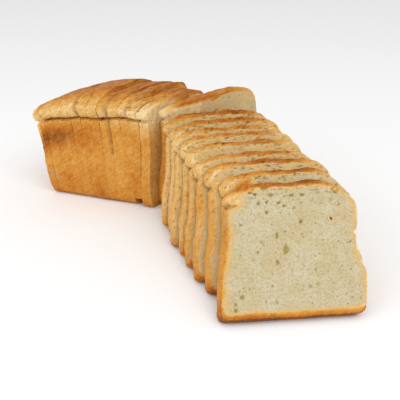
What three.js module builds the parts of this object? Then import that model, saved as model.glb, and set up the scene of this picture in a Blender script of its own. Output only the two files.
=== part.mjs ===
// A sliced tin loaf on edge: twenty-two slices that keep the loaf's order in one curved run.
// An upright run starts with the heel at the far left, one slice turns the corner, and a run of
// leaning slices comes forward like fallen dominoes, so that the last slice shows its whole face.
// Millimetres, +Z up. The loaf stands on z = 0, with the middle of its footprint at the origin.

import * as THREE from 'three';

const degree = Math.PI / 180;

// One slice, seen on its cut face
const sliceWidth = 116;
const sliceHeight = 115;
const sliceThickness = 9.5;
const cutSkew = 2.2;             // how far out of square the cuts are, across one thickness
const crustRounding = 1.3;

// The sole's corner: run along the sole and rise up the flank where its curve begins and ends, and
// inset and lift of the point that draws the curve outwards
const soundCorner = { run: 7, rise: 7, inset: 0.6, lift: 0.3 };
const chippedCorner = { run: 26, rise: 10, inset: 5, lift: 5.5 };

const footHeight = 32;           // the flanks are plumb up to here, and draw in above it
const rightFootFlare = 3;        // how far the right foot spreads from the sole to its top
const waistInset = 4.7;
const waistCurve = { rise: 9, inset: 0.2, upperRise: 16, upperInset: 1.3 };
const creaseLip = 2.5;
const leftCreaseDepth = 8;
const rightCreaseDepth = 2;
const uprightCreaseHeight = 97;
const leaningCreaseHeight = 92;
const rightCreaseHeight = 63;
const lobeInset = 2;
const lobeDroop = 1;             // how far the dome's lobe hangs below its crease
const bellyShare = 0.45;         // where the lobe is widest, from its crease to its shoulder
const lobeShare = 0.8;
const shoulderShare = 0.12;
const shoulderBend = { inset: 0.55, drop: 1.8 };
const leftShoulderDrop = 4.5;

// The dome's top from right to left: place across the width, drop below the slice's full height,
// and the shares of the slice's own ripple and of its right shoulder's drop
const crownWaves = [
  { at: 0.81, drop: 0.5, wave: 0, shoulder: 0.45 },
  { at: 0.73, drop: 0.5, wave: 0, shoulder: 0 },
  { at: 0.61, drop: 0, wave: 0.5, shoulder: 0 },
  { at: 0.47, drop: 0.6, wave: -1, shoulder: 0 },
  { at: 0.33, drop: 1, wave: 0.6, shoulder: 0 },
  { at: 0.22, drop: 1.8, wave: 0, shoulder: 0 },
];

const slumpReach = 0.75;         // the part of the width over which a slump fades out
const curveSteps = 5;
const crownSteps = 18;

// How far slices differ from one another
const unevenness = { height: 1, leftCrease: 1.6, rightCrease: 3.2, waist: 0.8, shoulder: 1.6, foot: 0.6 };
const crownRipple = 1.2;
const seed = 22;
const drawFactor = 1664525;
const drawStep = 1013904223;
const drawRange = 2 ** 32;

// The heel end, where the loaf is lower and its crust is rounded
const heelDrop = 16;
const heelDropLength = 2.3;
const heelCreaseDrop = 14;
const heelCreaseLength = 5;
const heelBulge = 5;
const heelBulgeHeight = 1.8;     // above 1, the bulge is fullest above the middle

// The upright run: clumps of slices that have parted from one another, heel first.
// step is how far a clump's first slice sits towards the right side of the loaf, and slump is how
// far the dome has sunk on its left side. crown raises or lowers the whole dome, crease raises the
// crease under it, shoulder is how far the dome has dropped at its right shoulder, and corner is the
// sole's left corner, where one slice has lost some of its crust.
const uprightClumps = [
  { slices: 4, step: 0, slump: 0, crown: 3, crease: 0, shoulder: 14, corner: soundCorner },
  { slices: 3, step: 0.8, slump: 0, crown: 5, crease: 0, shoulder: 6, corner: soundCorner },
  { slices: 2, step: 1, slump: 0, crown: 3, crease: 0, shoulder: 3, corner: soundCorner },
  { slices: 1, step: 1.5, slump: 0, crown: 2.5, crease: 1, shoulder: 3, corner: soundCorner },
  { slices: 1, step: -2.5, slump: 2, crown: -1, crease: 2, shoulder: 5, corner: chippedCorner },
  { slices: 1, step: 0, slump: 2, crown: -1, crease: 2, shoulder: 5, corner: soundCorner },
];
const uprightTurn = { first: 58, last: 55 };
const uprightLean = { first: 15, last: 3 };
const uprightGap = 0.5;

// The slice that stands between the two runs
const cornerSlice = {
  turn: 28, lean: 0, step: 18, gap: 0.5, slump: 10, crown: 8, crease: 3, shoulder: 3,
};

// The leaning run, counted from the corner towards the front.
// offset shifts one slice sideways from the even run, gap is the room behind it, crown raises or
// lowers its dome, shoulder is how far the dome drops at the right shoulder, and sway is how far the
// slice sags to the right for each millimetre of height.
const leaningSlices = [
  { offset: 0, gap: 1.8, crown: 0, shoulder: 5, sway: 0.055 },
  { offset: 0.5, gap: 2.5, crown: 0, shoulder: 4, sway: 0.055 },
  { offset: -6, gap: 4.2, crown: 0, shoulder: 3, sway: 0.07 },
  { offset: -4, gap: 2, crown: 0, shoulder: 3, sway: 0.055 },
  { offset: -6.5, gap: 3.5, crown: 0, shoulder: 3, sway: 0.055 },
  { offset: -6.5, gap: 5, crown: 0, shoulder: 4, sway: 0.05 },
  { offset: -3, gap: 1.8, crown: 0.5, shoulder: 5, sway: 0.045 },
  { offset: 0.5, gap: 0.5, crown: 0.5, shoulder: 14, sway: 0.07 },
  { offset: -8.5, gap: 0.5, crown: -2, shoulder: 9.3, sway: 0.1 },
];
const leaningTurn = { first: 11, last: 6 };
const leaningLean = { first: 23, last: 45.3 };
const leaningEase = 0.85;      // below 1, the lean grows fastest near the corner
const leaningStep = 4.6;
const leaningStart = -5;

// A repeatable random draw between -1 and 1
function makeDraw(start) {
  let state = start;
  return () => {
    state = (state * drawFactor + drawStep) % drawRange;
    return (state / drawRange) * 2 - 1;
  };
}

const draw = makeDraw(seed);

// A value that runs evenly from range.first to range.last
function along(range, share) {
  return THREE.MathUtils.lerp(range.first, range.last, share);
}

// The sizes of one slice, a little different for each; place counts slices from the heel
function sliceForm(place, stand) {
  const crownDrop = heelDrop * Math.exp(-place / heelDropLength);
  const creaseDrop = heelCreaseDrop * Math.exp(-place / heelCreaseLength);
  return {
    height: sliceHeight - crownDrop + stand.crown + draw() * unevenness.height,
    leftCrease: stand.crease - creaseDrop + draw() * unevenness.leftCrease,
    rightCrease: rightCreaseHeight + draw() * unevenness.rightCrease,
    waist: waistInset + draw() * unevenness.waist,
    leftShoulder: leftShoulderDrop + draw() * unevenness.shoulder,
    rightShoulder: stand.shoulder,
    ripple: crownRipple * draw(),
    footSpread: draw() * unevenness.foot,
    sway: stand.sway,
    slump: stand.slump,
    leftCorner: stand.corner,
  };
}

// The flank of one side from the sole's corner up to the crease under the dome, drawn upwards.
// inward measures from where the foot's side stands towards the middle of the slice.
function flankCurves({ inward, crease, flare, corner }, form) {
  const foot = new THREE.Vector2(inward(-flare), footHeight);
  const { rise, inset, upperRise, upperInset } = waistCurve;
  return [
    new THREE.QuadraticBezierCurve(
      new THREE.Vector2(inward(corner.run), 0),
      new THREE.Vector2(inward(corner.inset), corner.lift),
      new THREE.Vector2(inward(0), corner.rise),
    ),
    new THREE.LineCurve(new THREE.Vector2(inward(0), corner.rise), foot),
    new THREE.CubicBezierCurve(
      foot,
      new THREE.Vector2(inward(form.waist * inset), footHeight + rise),
      new THREE.Vector2(inward(form.waist * upperInset), footHeight + upperRise),
      new THREE.Vector2(inward(form.waist), crease - creaseLip),
    ),
  ];
}

// The crease and the lobe of the dome that hangs over it, drawn upwards to the shoulder
function lobeCurves({ inward, crease, depth, shoulder }, form) {
  const reach = form.height - shoulder - crease;
  const tip = new THREE.Vector2(inward(form.waist + depth), crease);
  const belly = new THREE.Vector2(inward(lobeInset), crease + reach * bellyShare);
  const shoulderInset = sliceWidth * shoulderShare;
  const bend = new THREE.Vector2(
    inward(shoulderInset * shoulderBend.inset),
    form.height - shoulder * shoulderBend.drop,
  );
  return [
    new THREE.LineCurve(new THREE.Vector2(inward(form.waist), crease - creaseLip), tip),
    new THREE.QuadraticBezierCurve(tip, new THREE.Vector2(inward(lobeInset), crease - lobeDroop), belly),
    new THREE.CubicBezierCurve(
      belly,
      new THREE.Vector2(inward(lobeInset), crease + reach * lobeShare),
      bend,
      new THREE.Vector2(inward(shoulderInset), form.height - shoulder),
    ),
  ];
}

// The dome's top, from the right shoulder to the left one, with soft waves
function crownCurve(form) {
  const waves = crownWaves.map(({ at, drop, wave, shoulder }) => new THREE.Vector2(
    sliceWidth * at,
    form.height - drop + form.ripple * wave - form.rightShoulder * shoulder,
  ));
  return new THREE.SplineCurve([
    new THREE.Vector2(sliceWidth * (1 - shoulderShare), form.height - form.rightShoulder),
    ...waves,
    new THREE.Vector2(sliceWidth * shoulderShare, form.height - form.leftShoulder),
  ]);
}

// A slice sags to the right as it rises, and its dome sinks towards the left above the crease
function sag(point, form) {
  const rise = Math.max(0, (point.y - form.leftCrease) / (form.height - form.leftCrease));
  const leftShare = Math.max(0, 1 - point.x / (sliceWidth * slumpReach));
  return new THREE.Vector2(point.x + form.sway * point.y, point.y - form.slump * rise * leftShare);
}

// Points along a chain of curves, without the end of the last one
function sampled(curves) {
  return curves.flatMap((curve) => curve.getPoints(curve.isLineCurve ? 1 : curveSteps).slice(0, -1));
}

// The closed outline of a cut face: sole, right flank, dome and left flank
function sliceOutline(form) {
  const right = {
    inward: (distance) => sliceWidth + form.footSpread - distance,
    crease: form.rightCrease,
    depth: rightCreaseDepth,
    flare: rightFootFlare,
    corner: soundCorner,
    shoulder: form.rightShoulder,
  };
  const left = {
    inward: (distance) => distance - form.footSpread,
    crease: form.leftCrease,
    depth: leftCreaseDepth,
    flare: 0,
    corner: form.leftCorner,
    shoulder: form.leftShoulder,
  };
  const upRight = [...flankCurves(right, form), ...lobeCurves(right, form)];
  const upLeft = [...flankCurves(left, form), ...lobeCurves(left, form)];
  const points = [
    ...sampled(upRight),
    ...crownCurve(form).getPoints(crownSteps).slice(0, -1),
    upLeft.at(-1).getPoint(1),
    ...sampled(upLeft).reverse(),
  ];
  return points.map((point) => sag(point, form));
}

// A slice as a solid: cut faces at z = 0 and z = thickness, with rounded crust edges
function sliceGeometry(outline) {
  const slope = cutSkew / sliceThickness;
  const skew = new THREE.Matrix4().makeShear(0, 0, 0, 0, slope, 0);
  return new THREE.ExtrudeGeometry(new THREE.Shape(outline), {
    depth: sliceThickness - 2 * crustRounding,
    bevelEnabled: true,
    bevelThickness: crustRounding,
    bevelSize: crustRounding,
    bevelOffset: -crustRounding,
    bevelSegments: 1,
    steps: 1,
  }).translate(0, 0, crustRounding).applyMatrix4(skew);
}

// The heel's outer face bulges outwards between the sole and the top of the dome
function roundHeel(geometry, form) {
  const position = geometry.getAttribute('position');
  for (let index = 0; index < position.count; index += 1) {
    const z = position.getZ(index);
    if (z < sliceThickness / 2) {
      const heightShare = Math.min(1, position.getY(index) / form.height);
      position.setZ(index, z - heelBulge * Math.sin(Math.PI * heightShare ** heelBulgeHeight));
    }
  }
  return geometry;
}

const crustMaterial = new THREE.MeshStandardMaterial({ color: 0xc98a45, roughness: 0.8, metalness: 0 });
const crumbMaterial = new THREE.MeshStandardMaterial({ color: 0xd9cfae, roughness: 0.95, metalness: 0 });

// The directions of a slice turned about the vertical and leaned back: across it, up it and out of
// its front face, and the level direction that its front faces
function sliceAxes(turn, lean) {
  const across = new THREE.Vector3(Math.cos(turn), Math.sin(turn), 0);
  const ahead = new THREE.Vector3(Math.sin(turn), -Math.cos(turn), 0);
  const up = new THREE.Vector3(0, 0, Math.cos(lean)).addScaledVector(ahead, -Math.sin(lean));
  const front = new THREE.Vector3(0, 0, Math.sin(lean)).addScaledVector(ahead, Math.cos(lean));
  return { across, ahead, up, front };
}

// Sets a slice down in front of the one behind it, moved ahead until its whole back face is clear
function settle(outline, stand, behind) {
  const axes = sliceAxes(stand.turn, stand.lean);
  if (!behind) {
    return { ...axes, corner: new THREE.Vector3() };
  }
  const corner = behind.corner.clone().addScaledVector(axes.across, stand.step);
  const wanted = sliceThickness + stand.gap;
  const slope = axes.ahead.dot(behind.front);
  const moves = outline.map((point) => {
    const place = corner.clone().addScaledVector(axes.across, point.x).addScaledVector(axes.up, point.y);
    const clearance = place.sub(behind.corner).dot(behind.front);
    return (wanted - clearance) / slope;
  });
  corner.addScaledVector(axes.ahead, Math.max(...moves));
  return { ...axes, corner };
}

// The stands of all slices in order: turn, lean, step to the right and gap to the slice behind
function standList() {
  const stands = [];
  const uprightCount = uprightClumps.reduce((sum, clump) => sum + clump.slices, 0);
  for (const clump of uprightClumps) {
    for (let slice = 0; slice < clump.slices; slice += 1) {
      const share = stands.length / (uprightCount - 1);
      stands.push({
        name: 'upright_slice',
        material: crustMaterial,
        turn: along(uprightTurn, share) * degree,
        lean: along(uprightLean, share) * degree,
        step: cutSkew + (slice === 0 ? clump.step : 0),
        gap: uprightGap,
        sway: 0,
        slump: clump.slump,
        crown: clump.crown,
        crease: uprightCreaseHeight + clump.crease,
        shoulder: clump.shoulder,
        corner: clump.corner,
      });
    }
  }
  stands.push({
    name: 'corner_slice',
    material: crustMaterial,
    turn: cornerSlice.turn * degree,
    lean: cornerSlice.lean * degree,
    step: cornerSlice.step,
    gap: cornerSlice.gap,
    sway: 0,
    slump: cornerSlice.slump,
    crown: cornerSlice.crown,
    crease: uprightCreaseHeight + cornerSlice.crease,
    shoulder: cornerSlice.shoulder,
    corner: soundCorner,
  });
  leaningSlices.forEach(({ offset, gap, crown, shoulder, sway }, slice) => {
    const share = slice / (leaningSlices.length - 1);
    const easedShare = share ** leaningEase;
    const previousOffset = slice === 0 ? 0 : leaningSlices[slice - 1].offset;
    stands.push({
      name: 'leaning_slice',
      material: crumbMaterial,
      turn: along(leaningTurn, share) * degree,
      lean: along(leaningLean, easedShare) * degree,
      step: (slice === 0 ? leaningStart : leaningStep) + offset - previousOffset,
      gap,
      sway,
      slump: 0,
      crown,
      crease: leaningCreaseHeight,
      shoulder,
      corner: soundCorner,
    });
  });
  return stands;
}

const run = new THREE.Group();
let behind = null;
standList().forEach((stand, place) => {
  const form = sliceForm(place, stand);
  const outline = sliceOutline(form);
  const geometry = sliceGeometry(outline);
  if (place === 0) {
    roundHeel(geometry, form);
  }
  const settled = settle(outline, stand, behind);
  const mesh = new THREE.Mesh(geometry, stand.material);
  mesh.name = `${stand.name}_${String(place + 1).padStart(2, '0')}`;
  mesh.position.copy(settled.corner);
  mesh.rotation.set(Math.PI / 2 - stand.lean, 0, stand.turn, 'ZXY');
  mesh.position.z -= new THREE.Box3().setFromObject(mesh, true).min.z;
  run.add(mesh);
  behind = settled;
});

// Each slice's lowest edge stands on z = 0, and the middle of the loaf's footprint is at the origin
const middle = new THREE.Box3().setFromObject(run, true).getCenter(new THREE.Vector3());
run.position.set(-middle.x, -middle.y, 0);

export default run;
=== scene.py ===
"""The sliced tin loaf, dressed: each slice with its own crust and crumb, on a pale floor.

Metres, +Z up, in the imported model's frame. A slice is cut to the outline of its own node, then
rounded, pitted with holes and baked.
"""

from __future__ import annotations

import logging
from collections.abc import Sequence
from dataclasses import dataclass, field
from enum import Enum
from math import radians

import bmesh
import bpy
import numpy as np
from mathutils import Euler, Matrix, Vector


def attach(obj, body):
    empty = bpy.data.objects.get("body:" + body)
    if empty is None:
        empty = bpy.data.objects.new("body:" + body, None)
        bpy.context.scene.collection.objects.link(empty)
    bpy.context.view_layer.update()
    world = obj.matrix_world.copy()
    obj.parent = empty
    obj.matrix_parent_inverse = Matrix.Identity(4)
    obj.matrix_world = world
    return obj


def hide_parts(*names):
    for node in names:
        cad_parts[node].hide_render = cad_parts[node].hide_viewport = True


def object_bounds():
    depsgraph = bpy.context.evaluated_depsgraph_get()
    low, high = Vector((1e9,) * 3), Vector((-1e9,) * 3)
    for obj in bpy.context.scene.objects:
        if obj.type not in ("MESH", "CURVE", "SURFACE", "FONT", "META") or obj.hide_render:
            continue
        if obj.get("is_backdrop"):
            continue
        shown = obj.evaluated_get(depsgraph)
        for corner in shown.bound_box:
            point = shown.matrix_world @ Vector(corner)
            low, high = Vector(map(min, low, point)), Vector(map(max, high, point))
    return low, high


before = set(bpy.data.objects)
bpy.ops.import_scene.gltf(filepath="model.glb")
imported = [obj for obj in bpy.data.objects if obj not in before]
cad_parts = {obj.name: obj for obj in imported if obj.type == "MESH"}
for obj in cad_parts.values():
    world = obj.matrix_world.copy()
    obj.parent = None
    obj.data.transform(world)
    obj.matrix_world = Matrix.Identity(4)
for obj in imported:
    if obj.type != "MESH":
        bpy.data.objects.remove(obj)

log = logging.getLogger("loaf")

MM = 0.001
BODY = "root"

# The slices as they were cut
THICKNESS = 9.5 * MM
CUT_SKEW = 2.2 * MM            # how far out of square the cuts are, across one thickness
CRUST_ROUNDING = 1.3 * MM
WELD = 0.01 * MM
RING_TOLERANCE = 0.1 * MM
FORWARDS = -0.1                # a face looks forwards if its normal's y is below this

# How outlines are softened
SHARP_TURN = 40.0              # the turn in degrees from which a corner stays sharp
CLIPPINGS = 2                  # how often the other corners are clipped
CLIPPED = 0.25                 # how much of a side goes at each end

# How the height of a dome is read: from what share of the slice's height, at how many places, and
# over what part of its width at each
DOME_FOOT = 0.7
DOME_PLACES = 60
DOME_PARTS = 40

# How nodes are set out
NODE_WIDTH = 180
NODE_HEIGHT = 160
NODE_ROWS = 4

PUSH_LEVELS = 40               # the steps that a push's weights are rounded to

Triple = tuple[float, float, float]


class SliceKind(Enum):
    """How a slice stands in the loaf."""

    HEEL = "heel"
    UPRIGHT = "upright"
    END = "end of the upright run"
    CORNER = "corner"
    LEANING = "leaning"
    FRONT = "front"


def tint(red: float, green: float, blue: float) -> tuple[float, float, float, float]:
    """Turns a colour as it looks on a screen into the shader's linear one.

    Args:
        red: Red, 0 to 255.
        green: Green, 0 to 255.
        blue: Blue, 0 to 255.

    Returns:
        The linear colour with full alpha.
    """
    linear = []
    for level in (red, green, blue):
        share = level / 255
        linear.append(share / 12.92 if share <= 0.04045 else ((share + 0.055) / 1.055) ** 2.4)
    return (linear[0], linear[1], linear[2], 1.0)


@dataclass(frozen=True)
class Slope:
    """A smooth rise from 0 at low to 1 at high, or a fall where high is below low.

    Attributes:
        low: Where it is 0.
        high: Where it is 1.
    """

    low: float
    high: float

    def __call__(self, values: np.ndarray) -> np.ndarray:
        """Gives the slope's height at each value."""
        share = np.clip((values - self.low) / (self.high - self.low), 0, 1)
        return share * share * (3 - 2 * share)


def hump(values: np.ndarray, middle: float, reach: float) -> np.ndarray:
    """Gives a smooth hump's height at each value: 1 in its middle, and little past its reach."""
    return np.exp(-(((values - middle) / reach) ** 2))


def choose_only(piece: bpy.types.Object) -> None:
    """Deselects everything and makes one piece the one that operators act on.

    Args:
        piece: The piece.
    """
    bpy.ops.object.select_all(action="DESELECT")
    piece.select_set(True)
    bpy.context.view_layer.objects.active = piece


# ---------------------------------------------------------------------------------------------
# Cut faces
# ---------------------------------------------------------------------------------------------


@dataclass
class CutFace:
    """Where a slice stands, and the outline that it was cut to.

    Attributes:
        origin: A point on the plane of the front face, under the middle of the outline.
        across: The direction from the slice's left flank to its right one.
        up: The direction from its sole to its dome.
        front: The direction that its cut face looks in.
        outline: Points round the slice, anticlockwise from the left crease, as distances across
            and up.
    """

    origin: Vector
    across: Vector
    up: Vector
    front: Vector
    outline: np.ndarray

    @property
    def height(self) -> float:
        """How high the slice is."""
        return self.outline[:, 1].max()

    @property
    def half_width(self) -> float:
        """Half of how wide it is."""
        return np.ptp(self.outline[:, 0]) / 2

    def to_place(self) -> Matrix:
        """Works out how a slice gets from its bench, where it lies on its back, to its place.

        Returns:
            The matrix that carries it there.
        """
        slope = CUT_SKEW / THICKNESS
        depth_axis = self.front + self.across * slope
        start = self.origin - self.front * THICKNESS
        start -= self.across * (slope * (THICKNESS - CRUST_ROUNDING))
        matrix = Matrix.Identity(4)
        for column, axis in enumerate((self.across, self.up, depth_axis)):
            matrix.col[column] = (*axis, 0)
        matrix.col[3] = (*start, 1)
        return matrix


def front_normal(mesh: bmesh.types.BMesh) -> Vector:
    """Finds which way a slice's front cut face looks.

    Args:
        mesh: The merged mesh of a slice.

    Returns:
        The normal of the largest flat face among those that look forwards.
    """
    areas: dict[tuple[float, ...], float] = {}
    sums: dict[tuple[float, ...], Vector] = {}
    for face in mesh.faces:
        if face.normal.y > FORWARDS:
            continue
        key = tuple(round(part, 2) for part in face.normal)
        area = face.calc_area()
        areas[key] = areas.get(key, 0.0) + area
        sums[key] = sums.get(key, Vector()) + face.normal * area
    best = max(areas, key=lambda key: areas[key])
    return sums[best].normalized()


def walk_ring(ring: list[bmesh.types.BMVert]) -> list[bmesh.types.BMVert]:
    """Puts the vertices of one closed ring in order.

    Args:
        ring: The ring's vertices in any order.

    Returns:
        The same vertices, each next to the one that it shares an edge with.
    """
    members = set(ring)
    walked = [ring[0]]
    seen = {ring[0]}
    while True:
        onward = [
            edge.other_vert(walked[-1])
            for edge in walked[-1].link_edges
            if edge.other_vert(walked[-1]) in members and edge.other_vert(walked[-1]) not in seen
        ]
        if not onward:
            return walked
        walked.append(onward[0])
        seen.add(onward[0])


def read_cut_face(node: bpy.types.Object) -> CutFace:
    """Reads a slice's place and outline from its node.

    Args:
        node: The slice's node in the frame, which isn't changed.

    Returns:
        The slice's cut face.
    """
    mesh = bmesh.new()
    mesh.from_mesh(node.data)
    bmesh.ops.remove_doubles(mesh, verts=mesh.verts, dist=WELD)
    mesh.normal_update()
    front = front_normal(mesh)
    across = Vector((0, 0, 1)).cross(front).normalized()
    up = front.cross(across)
    face_depth = max(vertex.co.dot(front) for vertex in mesh.verts)
    ring_depth = face_depth - CRUST_ROUNDING
    ring = [v for v in mesh.verts if abs(v.co.dot(front) - ring_depth) < RING_TOLERANCE]
    walked = walk_ring(ring)
    flat = np.array([(v.co.dot(across), v.co.dot(up)) for v in walked])
    mesh.free()
    middle = (flat[:, 0].min() + flat[:, 0].max()) / 2
    foot = flat[:, 1].min()
    outline = flat - (middle, foot)
    after = np.roll(outline, -1, axis=0)
    turning = (outline[:, 0] * after[:, 1] - after[:, 0] * outline[:, 1]).sum()
    if turning < 0:
        outline = outline[::-1]
    outline = np.roll(outline, -crease_tips(outline)[0], axis=0)
    origin = across * middle + up * foot + front * face_depth
    return CutFace(origin, across, up, front, outline)


def corner_turns(outline: np.ndarray) -> np.ndarray:
    """Measures how far an outline turns at each of its points.

    Args:
        outline: The outline.

    Returns:
        The turns in degrees, negative where the outline is hollow.
    """
    into = outline - np.roll(outline, 1, axis=0)
    away = np.roll(outline, -1, axis=0) - outline
    cross = into[:, 0] * away[:, 1] - into[:, 1] * away[:, 0]
    dot = (into * away).sum(axis=1)
    return np.degrees(np.arctan2(cross, dot))


def crease_tips(outline: np.ndarray) -> tuple[int, int]:
    """Finds the deepest points of the creases under the dome.

    Args:
        outline: The slice's outline.

    Returns:
        The places in the outline of the left and the right crease's tip.
    """
    turns = corner_turns(outline)
    left = np.where(outline[:, 0] < 0, turns, 0)
    right = np.where(outline[:, 0] > 0, turns, 0)
    return int(left.argmin()), int(right.argmin())


def softened(outline: np.ndarray, spacing: float) -> np.ndarray:
    """Rounds an outline's slight corners, keeps its sharp ones, and spaces its points evenly.

    Args:
        outline: The points of the outline. More columns than two are carried along.
        spacing: The wanted distance between points.

    Returns:
        The new points, with the same columns.
    """
    points = outline
    sharp = np.abs(corner_turns(points[:, :2])) > SHARP_TURN
    for _ in range(CLIPPINGS):
        fresh: list[np.ndarray] = []
        marks: list[bool] = []
        for here, there, stays in zip(points, np.roll(points, -1, axis=0), sharp):
            if stays:
                fresh.append(here)
                marks.append(True)
            fresh.append(here * (1 - CLIPPED) + there * CLIPPED)
            fresh.append(here * CLIPPED + there * (1 - CLIPPED))
            marks.extend((False, False))
        points, sharp = np.array(fresh), np.array(marks)
    corners = np.flatnonzero(sharp)
    points = np.roll(points, -corners[0], axis=0)
    corners = list(corners - corners[0]) + [len(points)]
    closed = np.vstack([points, points[:1]])
    spaced: list[np.ndarray] = []
    for start, end in zip(corners[:-1], corners[1:]):
        stretch = closed[start:end + 1]
        steps = np.linalg.norm(np.diff(stretch[:, :2], axis=0), axis=1)
        along = np.concatenate([[0], np.cumsum(steps)])
        count = max(1, round(along[-1] / spacing))
        stations = np.linspace(0, along[-1], count + 1)[:-1]
        columns = [np.interp(stations, along, column) for column in stretch.T]
        spaced.extend(np.stack(columns, axis=1))
    return np.array(spaced)


def inward_normals(outline: np.ndarray) -> np.ndarray:
    """Works out which way is inwards at each point of an outline.

    Args:
        outline: The outline, anticlockwise.

    Returns:
        The directions, each 1 long.
    """
    tangent = np.roll(outline, -1, axis=0) - np.roll(outline, 1, axis=0)
    tangent /= np.linalg.norm(tangent, axis=1)[:, None]
    return np.stack([-tangent[:, 1], tangent[:, 0]], axis=1)


def crown_height(outline: np.ndarray, across: np.ndarray) -> np.ndarray:
    """Gives the height of the dome over places across a slice.

    Args:
        outline: The slice's outline.
        across: Distances across the slice.

    Returns:
        The height of the outline's top at each.
    """
    top = outline[outline[:, 1] > DOME_FOOT * outline[:, 1].max()]
    top = top[np.argsort(top[:, 0])]
    stations = np.linspace(top[0, 0], top[-1, 0], DOME_PLACES)
    reach = (top[-1, 0] - top[0, 0]) / DOME_PARTS
    heights = [top[np.abs(top[:, 0] - station) < reach, 1].max(initial=0) for station in stations]
    filled = np.array(heights) > 0
    return np.interp(across, stations[filled], np.array(heights)[filled])


def rim_distance(points: np.ndarray, outline: np.ndarray) -> np.ndarray:
    """Measures how far points lie from a closed outline.

    Args:
        points: Places as distances across and up.
        outline: The outline.

    Returns:
        The distances.
    """
    nearest = np.full(len(points), np.inf)
    for start, end in zip(outline, np.roll(outline, -1, axis=0)):
        side = end - start
        length = side @ side
        if length == 0:
            continue
        share = np.clip((points - start) @ side / length, 0, 1)
        offset = points - start - share[:, None] * side
        nearest = np.minimum(nearest, (offset * offset).sum(axis=1))
    return np.sqrt(nearest)


# ---------------------------------------------------------------------------------------------
# Holes in the crumb
# ---------------------------------------------------------------------------------------------

# How ragged a hole's edge is, in three and in five waves round it, and how its depth grows inwards
THREE_WAVES = 0.12
FIVE_WAVES = 0.10
HOLE_EDGE = Slope(1.25, 0.35)


@dataclass(frozen=True)
class Hole:
    """A hole in a cut face, in millimetres from the middle of the sole.

    Attributes:
        across: Its middle's distance to the right.
        up: Its middle's height above the sole.
        length: How long it is.
        width: How wide it is.
        turn: How far its length is turned from level, in degrees.
        depth: How deep it goes.
    """

    across: float
    up: float
    length: float
    width: float
    turn: float = 0.0
    depth: float = 2.0

    def weights(self, points: np.ndarray) -> np.ndarray:
        """Gives the share of the hole's depth at points on the cut face.

        Args:
            points: The points, as distances across and up.

        Returns:
            The shares, 0 outside the hole and 1 where it is deepest.
        """
        turn = radians(self.turn)
        dx = points[:, 0] / MM - self.across
        dy = points[:, 1] / MM - self.up
        along = (dx * np.cos(turn) + dy * np.sin(turn)) / (self.length / 2)
        beside = (dy * np.cos(turn) - dx * np.sin(turn)) / (self.width / 2)
        angle = np.arctan2(beside, along)
        ragged = 1 + THREE_WAVES * np.sin(3 * angle + self.across)
        ragged = ragged + FIVE_WAVES * np.sin(5 * angle + self.up)
        return HOLE_EDGE(np.hypot(along, beside) * ragged)


# The holes that chance gives, in millimetres and degrees
DRAWN_FALL = 0.9               # how far down the face they go, as a share of its height
DRAWN_CROWDING = 1.9           # the higher, the more of them are near the dome
DRAWN_LENGTHS = (1.6, 5.5)
DRAWN_WIDTHS = (1.1, 2.0)
DRAWN_DEPTHS = (0.6, 2.0)
DRAWN_SPREAD = 0.46            # how far to the sides they go, as a share of the face's width
DRAWN_TURN = 25                # how far they turn from level, more or less
BELOW_RIM = 3                  # how far below the rim the highest ones are

# The larger holes of the slice in front
FRONT_HOLES = (
    Hole(-14.5, 107, 8, 2.6, 5),
    Hole(-23.5, 102, 2, 2, 0, 3),
    Hole(-21, 94, 4, 2.4, 35),
    Hole(-14, 95, 3.5, 2.4, 40),
    Hole(7.5, 100, 5, 2.2, 5),
    Hole(16.5, 100, 5.5, 2, 0),
    Hole(-4, 94, 5, 2, 20),
    Hole(0, 91, 4, 2.4, 10),
    Hole(8, 89, 3, 2, 40, 1.5),
    Hole(-15, 86, 3.4, 3.4, 0),
    Hole(-9, 66, 6.5, 2.8, 80),
    Hole(-3, 54, 8, 5, 80, 2.4),
    Hole(-11, 44, 4.5, 2.6, 90),
    Hole(12, 77, 4, 2.6, 50),
    Hole(-26, 53, 3.5, 2.4, 90, 1.6),
    Hole(-22, 61, 3, 2.2, 40, 1.2),
    Hole(-42, 18, 4.4, 3, 20),
    Hole(-48, 8, 3, 3, 0),
    Hole(44.5, 101, 5, 2.6, -35),
    Hole(23, 94, 5, 1.8, -15, 1),
    Hole(19, 25, 5, 4, 0, 1),
    Hole(13, 23, 2.6, 2, 0, 1.4),
    Hole(45, 13, 3, 2, 0, 1.2),
    Hole(51, 12, 3, 2, 0, 1.2),
    Hole(-15, 12, 3, 2, 30, 1.2),
)


def drawn_holes(rng: np.random.Generator, face: CutFace, count: int) -> list[Hole]:
    """Draws holes at random, more and longer ones near the dome.

    Args:
        rng: The seeded source of chance.
        face: The cut face that gets them.
        count: How many.

    Returns:
        The holes.
    """
    width = 2 * face.half_width / MM
    height = face.height / MM
    holes = []
    for _ in range(count):
        rise = height * (1 - DRAWN_FALL * rng.random() ** DRAWN_CROWDING)
        length = rng.uniform(*DRAWN_LENGTHS) * (0.5 + 0.5 * rise / height)
        holes.append(Hole(
            across=rng.uniform(-DRAWN_SPREAD, DRAWN_SPREAD) * width,
            up=rise - BELOW_RIM,
            length=length,
            width=min(length, rng.uniform(*DRAWN_WIDTHS)),
            turn=rng.normal(0, DRAWN_TURN),
            depth=rng.uniform(*DRAWN_DEPTHS),
        ))
    return holes


# ---------------------------------------------------------------------------------------------
# Slices
# ---------------------------------------------------------------------------------------------


@dataclass(frozen=True)
class Cutting:
    """How one kind of slice is made.

    Attributes:
        voxel: The size of the mesh's cells, or 0 where the outline is only swept.
        smoothing: How many rounds of smoothing round its edges.
        holes: How many holes its front face gets by chance.
    """

    voxel: float
    smoothing: int
    holes: int


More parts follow.
